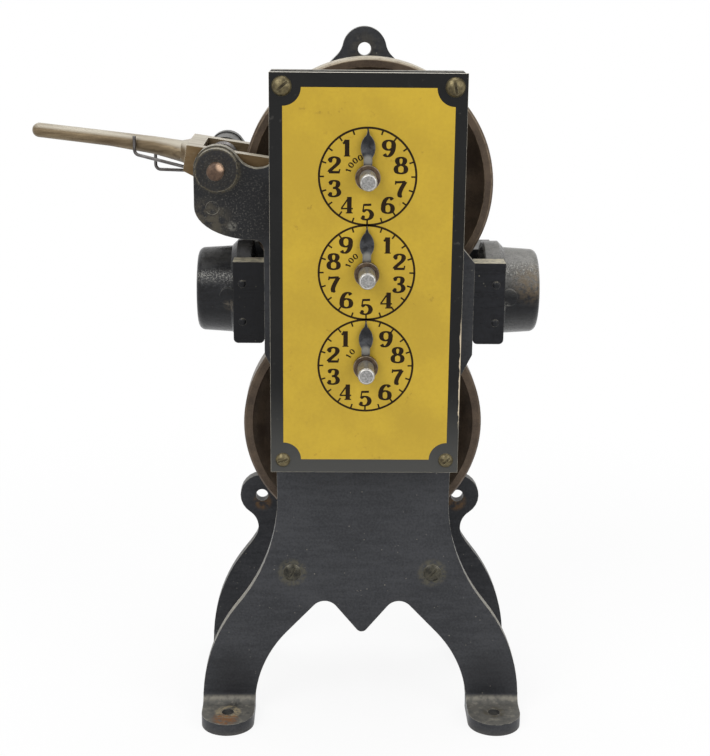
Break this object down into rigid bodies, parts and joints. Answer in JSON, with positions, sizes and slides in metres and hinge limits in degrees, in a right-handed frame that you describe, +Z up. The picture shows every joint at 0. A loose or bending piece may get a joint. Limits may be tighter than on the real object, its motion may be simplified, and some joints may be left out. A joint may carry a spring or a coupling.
{
  "type": "wire measuring machine",
  "caption": "Counter-top wire measuring machine: cast frame on legs, sprung pressure wheel over a measuring wheel, tube guides at both sides and a geared dial counter.",
  "frame": {"origin": "on the floor, at the centre of the four foot holes", "axes": "+X to the right of the dials, +Y to the back, +Z up"},
  "size_m": [0.1991, 0.0936, 0.2769],
  "materials": {
    "japan_black": "worn black japan over cast iron",
    "aged_wheel": "browned iron",
    "lever_bronze": "dull aged bronze",
    "bright_steel": "turned steel",
    "dark_steel": "darkened steel",
    "rusty_steel": "rusty steel",
    "aged_brass": "tarnished brass",
    "dial_enamel": "yellow enamel with black lines on sheet metal"
  },
  "bodies": {
    "frame": {"front_frame": "japan_black", "rear_frame": "japan_black", "tie_posts": "japan_black", "front_tie_screws": "dark_steel", "rear_tie_screws": "dark_steel", "guide_bracket_left": "japan_black", "guide_bracket_right": "japan_black", "guide_tube_left": "japan_black", "guide_tube_right": "japan_black", "guide_screws": "dark_steel", "guide_rivets": "dark_steel", "front_axle_bush": "aged_brass", "rear_axle_bush": "aged_brass", "lever_pivot_pin": "rusty_steel", "pivot_washer": "dark_steel", "spring_post": "japan_black", "dial_plate": "dial_enamel", "dial_pillars": "aged_brass", "dial_screws": "aged_brass", "spindle_frame_bushes": "aged_brass", "spindle_plate_bushes": "aged_brass"},
    "measuring_wheel_body": {"measuring_wheel": "aged_wheel", "measuring_axle": "bright_steel", "wheel_set_screw": "dark_steel", "drive_pinion": "aged_brass"},
    "lever_body": {"lever": "lever_bronze", "pressure_axle": "bright_steel", "pressure_axle_nut": "dark_steel", "lever_spring": "dark_steel"},
    "pressure_wheel_body": {"pressure_wheel": "aged_wheel", "pressure_wheel_bush": "aged_brass"},
    "tens_dial": {"tens_spindle": "bright_steel", "tens_gear": "aged_brass", "tens_pinion": "aged_brass", "tens_pointer": "dark_steel", "tens_pointer_hub": "aged_wheel"},
    "hundreds_dial": {"hundreds_spindle": "bright_steel", "hundreds_gear": "aged_brass", "hundreds_pinion": "aged_brass", "hundreds_pointer": "dark_steel", "hundreds_pointer_hub": "aged_wheel"},
    "thousands_dial": {"thousands_spindle": "bright_steel", "thousands_gear": "aged_brass", "thousands_pointer": "dark_steel", "thousands_pointer_hub": "aged_wheel"}
  },
  "joints": [
    {"name": "measuring_wheel_spin", "type": "hinge", "parent": "frame", "child": "measuring_wheel_body", "pos_m": [0, 0, 0.1202], "axis": [0, 1, 0], "continuous": true},
    {"name": "tens_dial_turn", "type": "hinge", "parent": "frame", "child": "tens_dial", "pos_m": [0, 0, 0.1541], "axis": [0, 1, 0], "continuous": true},
    {"name": "hundreds_dial_turn", "type": "hinge", "parent": "frame", "child": "hundreds_dial", "pos_m": [0, 0, 0.1902], "axis": [0, 1, 0], "continuous": true},
    {"name": "thousands_dial_turn", "type": "hinge", "parent": "frame", "child": "thousands_dial", "pos_m": [0, 0, 0.2263], "axis": [0, 1, 0], "continuous": true},
    {"name": "lever_lift", "type": "hinge", "parent": "frame", "child": "lever_body", "pos_m": [-0.0565, 0, 0.22681], "axis": [0, -1, 0], "range_deg": [0, 12], "stiffness_Nm_per_rad": 1, "springref_deg": -28.65, "deforming": ["lever_spring"]},
    {"name": "pressure_wheel_spin", "type": "hinge", "parent": "lever_body", "child": "pressure_wheel_body", "pos_m": [0.0012, 0, 0.21811], "axis": [0, 1, 0], "continuous": true}
  ],
  "couplings": [
    {"joint": "tens_dial_turn", "follows": "measuring_wheel_spin", "ratio": -0.1},
    {"joint": "hundreds_dial_turn", "follows": "measuring_wheel_spin", "ratio": 0.01},
    {"joint": "thousands_dial_turn", "follows": "measuring_wheel_spin", "ratio": -0.001}
  ]
}
